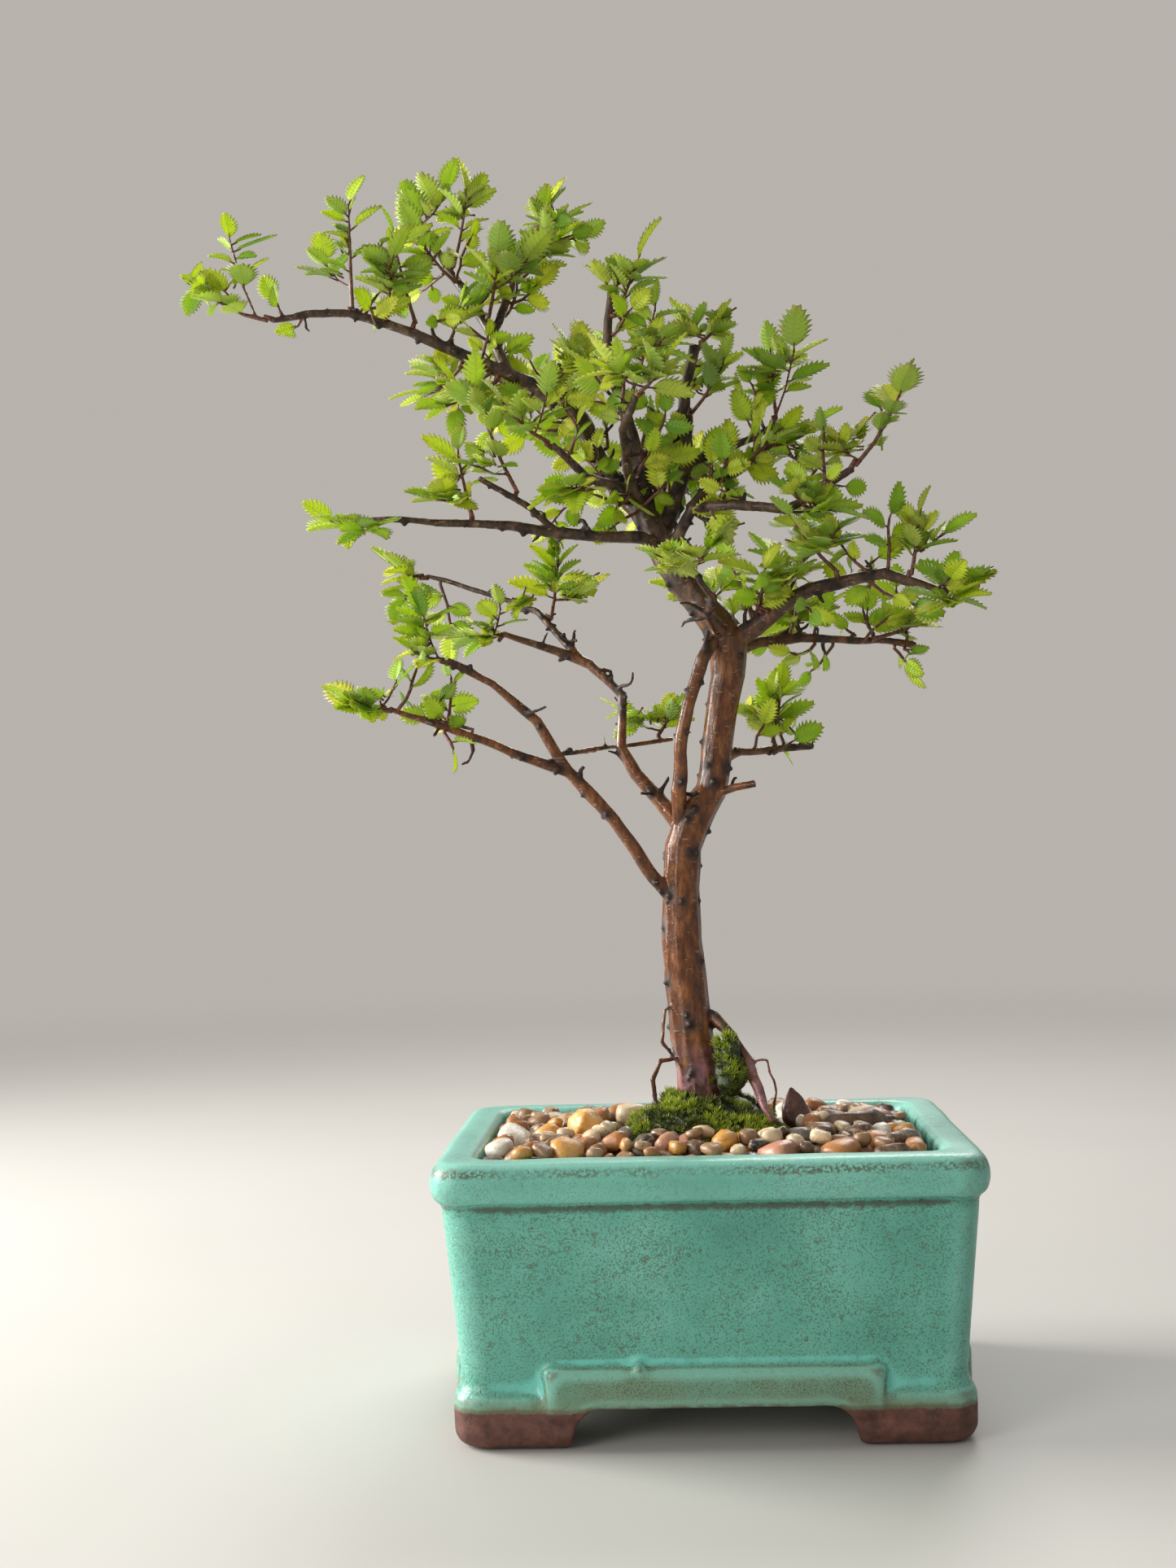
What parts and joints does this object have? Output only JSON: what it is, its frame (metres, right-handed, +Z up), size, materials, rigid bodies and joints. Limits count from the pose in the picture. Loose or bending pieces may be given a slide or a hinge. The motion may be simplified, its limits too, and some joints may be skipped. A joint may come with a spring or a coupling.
{
  "type": "bonsai tree in a pot",
  "caption": "Small elm bonsai with a forked trunk and leafy side-swept crown, standing in a glazed rectangular pot on bracket feet, with pebbles and moss over the soil.",
  "frame": {"origin": "on the surface that the pot stands on, below the middle of the whole object's bounding box", "axes": "+Z up, +X to the right along the pot's long side, -Y to the front"},
  "size_m": [0.238, 0.1214, 0.3755],
  "materials": {
    "glazed_stoneware": "speckled turquoise glaze, satin to glossy, over a brown-purple clay foot",
    "potting_soil": "damp dark crumb",
    "pebbles": "wet rounded river pebbles of mixed colours",
    "moss": "fine upright tufts",
    "screen_plastic": "moulded mesh",
    "tie_wire": "drawn wire",
    "bark": "thin reddish-brown bark with pale pores, damp; greyer and rougher on the branches",
    "red_brown_stone": "worn, damp",
    "slab_stone": "worn, damp",
    "orange_stone": "worn, damp",
    "leafy_shoot": "thin green leaf, slightly glossy above, lit through"
  },
  "bodies": {
    "root": {"drain_mesh_left": "screen_plastic", "drain_mesh_right": "screen_plastic", "gravel_bed": "pebbles", "moss_mound": "moss", "moss_on_root": "moss", "pot": "glazed_stoneware", "shoot_back_crown_mid": "leafy_shoot", "shoot_back_crown_tip": "leafy_shoot", "shoot_back_link_end": "leafy_shoot", "shoot_back_low_tip": "leafy_shoot", "shoot_back_stub_top": "leafy_shoot", "shoot_crest_back_mid": "leafy_shoot", "shoot_crest_back_tip": "leafy_shoot", "shoot_crest_left": "leafy_shoot", "shoot_crest_needle": "leafy_shoot", "shoot_crest_right": "leafy_shoot", "shoot_crest_tip": "leafy_shoot", "shoot_crown_right": "leafy_shoot", "shoot_crown_tip": "leafy_shoot", "shoot_front_crown_tip": "leafy_shoot", "shoot_front_low_tip": "leafy_shoot", "shoot_leader_front": "leafy_shoot", "shoot_leader_left": "leafy_shoot", "shoot_leader_tip": "leafy_shoot", "shoot_left_arm_tip": "leafy_shoot", "shoot_left_arm_under": "leafy_shoot", "shoot_left_long_curl": "leafy_shoot", "shoot_left_long_tip": "leafy_shoot", "shoot_left_long_upright": "leafy_shoot", "shoot_low_left_tip": "leafy_shoot", "shoot_low_spur_tip": "leafy_shoot", "shoot_mast_side": "leafy_shoot", "shoot_mast_tip": "leafy_shoot", "shoot_mid_far_inner": "leafy_shoot", "shoot_mid_far_tip": "leafy_shoot", "shoot_mid_left_tip": "leafy_shoot", "shoot_right_arm_base": "leafy_shoot", "shoot_right_arm_inner": "leafy_shoot", "shoot_right_arm_red": "leafy_shoot", "shoot_right_arm_riser": "leafy_shoot", "shoot_right_arm_tip": "leafy_shoot", "shoot_right_inner_tip": "leafy_shoot", "shoot_right_long_mid": "leafy_shoot", "shoot_right_long_tip": "leafy_shoot", "shoot_right_low_long": "leafy_shoot", "shoot_right_low_mid": "leafy_shoot", "shoot_right_upper_tip": "leafy_shoot", "shoot_top_fan": "leafy_shoot", "shoot_top_spur": "leafy_shoot", "shoot_top_stub": "leafy_shoot", "shoot_top_tip": "leafy_shoot", "shoot_top_under": "leafy_shoot", "shoot_top_under_front": "leafy_shoot", "shoot_top_upright": "leafy_shoot", "soil": "potting_soil", "stone_orange": "orange_stone", "stone_red_brown": "red_brown_stone", "stone_slab": "slab_stone", "tie_wire": "tie_wire", "trunk_and_branches": "bark"}
  },
  "joints": []
}
